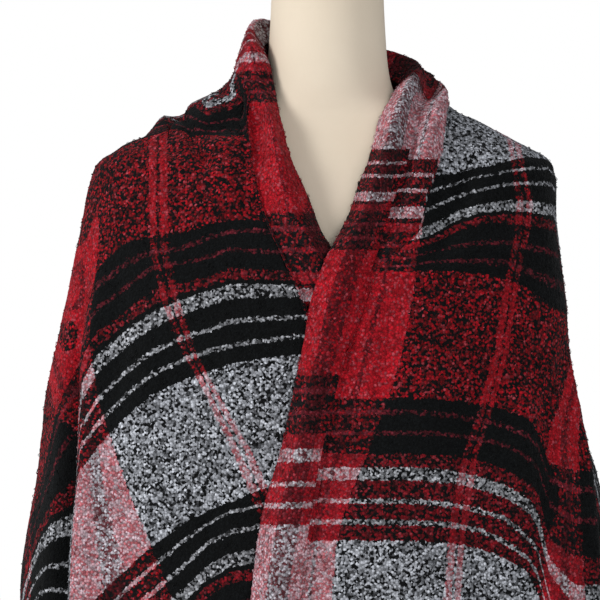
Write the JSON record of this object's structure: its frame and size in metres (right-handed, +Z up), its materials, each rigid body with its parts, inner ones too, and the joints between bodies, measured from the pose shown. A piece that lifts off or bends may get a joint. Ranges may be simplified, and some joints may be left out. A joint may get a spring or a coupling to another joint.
{
  "type": "tartan blanket scarf on a dress form",
  "caption": "Long boucle tartan blanket scarf worn as a shawl with a rolled collar, crossed fronts and draped back, on a limbless cream dress form with a round base.",
  "frame": {"origin": "on the standing surface under the middle of the base", "axes": "+Z up, the fronts face -Y, +X is the viewer's right"},
  "size_m": [0.6202, 0.33, 0.993],
  "materials": {
    "tartan_cloth": "boucle",
    "form_cover": "matte",
    "pole_steel": "satin",
    "base_wood": "painted"
  },
  "bodies": {
    "root": {"right_front": "tartan_cloth", "left_front": "tartan_cloth", "right_front_roll": "tartan_cloth", "left_front_roll": "tartan_cloth", "collar": "tartan_cloth", "left_arm_side": "tartan_cloth", "right_arm_side": "tartan_cloth", "back": "tartan_cloth", "form_torso": "form_cover", "form_pole": "pole_steel", "form_base": "base_wood"}
  },
  "joints": []
}
